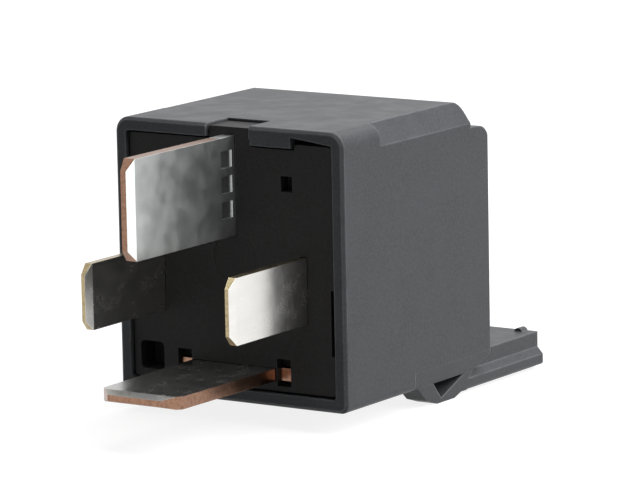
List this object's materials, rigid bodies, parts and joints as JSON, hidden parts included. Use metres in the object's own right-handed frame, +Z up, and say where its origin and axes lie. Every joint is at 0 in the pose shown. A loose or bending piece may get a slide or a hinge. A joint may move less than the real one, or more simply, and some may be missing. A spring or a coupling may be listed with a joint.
{
  "type": "automotive relay",
  "caption": "Plug-in power relay with blade terminals on its face, a hinged armature inside, and a slide tongue with latch legs moulded on its case.",
  "frame": {"origin": "centre of the mouth of the case, on the plane of its rim, from which the blades point out", "axes": "+Y from the mouth to the closed end and on along the slide tongue, +Z up from the level blade to the upright one, +X to the right as the blades are looked at"},
  "size_m": [0.026, 0.0534, 0.0286],
  "materials": {
    "case_plastic": "dark grey moulded nylon with a fine texture",
    "base_plastic": "black moulded nylon",
    "tinned_copper": "tin-plated copper with bare stamped edges",
    "tinned_brass": "tin-plated brass with bare stamped edges",
    "bobbin_plastic": "dark moulded nylon",
    "enamelled_copper": "enamelled copper wire",
    "amber_tape": "clear amber tape",
    "magnet_iron": "zinc-plated soft iron",
    "spring_bronze": "rolled bronze strip",
    "rivet_metal": "satin",
    "silver_alloy": "satin silver alloy",
    "spring_steel": "drawn spring wire",
    "bare_copper": "bare flat copper braid",
    "plated_brass": "tin-plated strip",
    "resistor_lacquer": "lacquered film resistor with tinned leads"
  },
  "bodies": {
    "housing": {"cover": "case_plastic", "base": "base_plastic", "terminal_30": "tinned_copper", "terminal_87": "tinned_copper", "terminal_85": "tinned_brass", "terminal_86": "tinned_brass", "bobbin": "bobbin_plastic", "coil_winding": "enamelled_copper", "coil_tape": "amber_tape", "core": "magnet_iron", "yoke": "magnet_iron", "fixed_contact": "silver_alloy", "return_spring": "spring_steel", "braid": "bare_copper", "stop_strap": "plated_brass", "resistor": "resistor_lacquer"},
    "armature_assembly": {"armature": "magnet_iron", "contact_spring": "spring_bronze", "spring_rivets": "rivet_metal", "moving_contact": "silver_alloy"}
  },
  "joints": [
    {"name": "armature_hinge", "type": "hinge", "parent": "housing", "child": "armature_assembly", "pos_m": [0, 0.0181, 0.0088], "axis": [-1, 0, 0], "range_deg": [0, 3.4], "stiffness_Nm_per_rad": 0.005, "springref_deg": -5.73, "deforming": ["return_spring", "braid"]}
  ]
}
